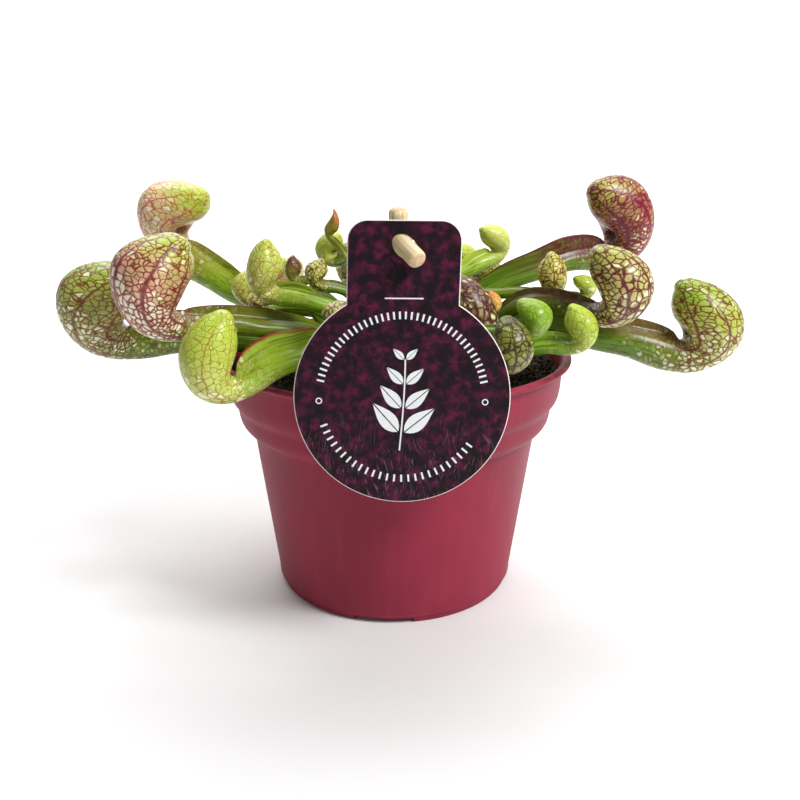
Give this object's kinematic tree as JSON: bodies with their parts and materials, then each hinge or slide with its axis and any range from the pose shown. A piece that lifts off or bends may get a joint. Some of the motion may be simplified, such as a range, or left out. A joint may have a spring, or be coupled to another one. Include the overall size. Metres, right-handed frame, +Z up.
{
  "type": "potted pitcher plant",
  "caption": "Low rosette of tubed, hooded pitchers growing from peat in a round tapered nursery pot, with a keyhole-shaped tag hung on a wooden stake and peg.",
  "frame": {"origin": "on the floor, on the pot's axis, which is within 1.5 mm of the middle of the whole plant's bounding box", "axes": "+Z up along the pot's axis, -Y towards the tag, +X to the right of someone facing the tag"},
  "size_m": [0.2211, 0.129, 0.1389],
  "materials": {
    "pot": "matte moulded, wine red",
    "peat": "loose dark fibres and grains",
    "rhizome": "rough brown crown",
    "tag": "semi-gloss print on thin card",
    "wood": "bare sanded wood",
    "pitcher_green": "waxy, fresh green",
    "pitcher_pale": "waxy, pale yellow green",
    "pitcher_cream": "waxy, cream with red veins",
    "pitcher_olive": "waxy, olive",
    "pitcher_maroon": "waxy, deep red with pale windows"
  },
  "bodies": {
    "root": {"pot": "pot", "peat": "peat", "rhizome": "rhizome", "tag": "tag", "tag_stake": "wood", "tag_peg": "wood", "pitcher_left_1": "pitcher_cream", "pitcher_left_2": "pitcher_maroon", "pitcher_left_3": "pitcher_pale", "pitcher_left_4": "pitcher_green", "pitcher_left_5": "pitcher_pale", "pitcher_left_6": "pitcher_pale", "pitcher_right_1": "pitcher_maroon", "pitcher_right_2": "pitcher_cream", "pitcher_right_3": "pitcher_maroon", "pitcher_right_4": "pitcher_green", "pitcher_right_9": "pitcher_pale", "pitcher_right_5": "pitcher_green", "pitcher_right_6": "pitcher_olive", "pitcher_right_7": "pitcher_maroon", "pitcher_right_8": "pitcher_green", "pitcher_right_10": "pitcher_maroon", "pitcher_right_11": "pitcher_olive", "pitcher_left_7": "pitcher_cream", "pitcher_left_8": "pitcher_green", "pitcher_left_9": "pitcher_maroon", "pitcher_left_10": "pitcher_green", "pitcher_left_11": "pitcher_cream", "pitcher_left_12": "pitcher_olive", "pitcher_back_1": "pitcher_green", "pitcher_back_2": "pitcher_olive", "pitcher_back_3": "pitcher_green", "pitcher_back_4": "pitcher_pale", "pitcher_back_5": "pitcher_green", "pitcher_back_6": "pitcher_olive", "pitcher_front_1": "pitcher_green"}
  },
  "joints": []
}
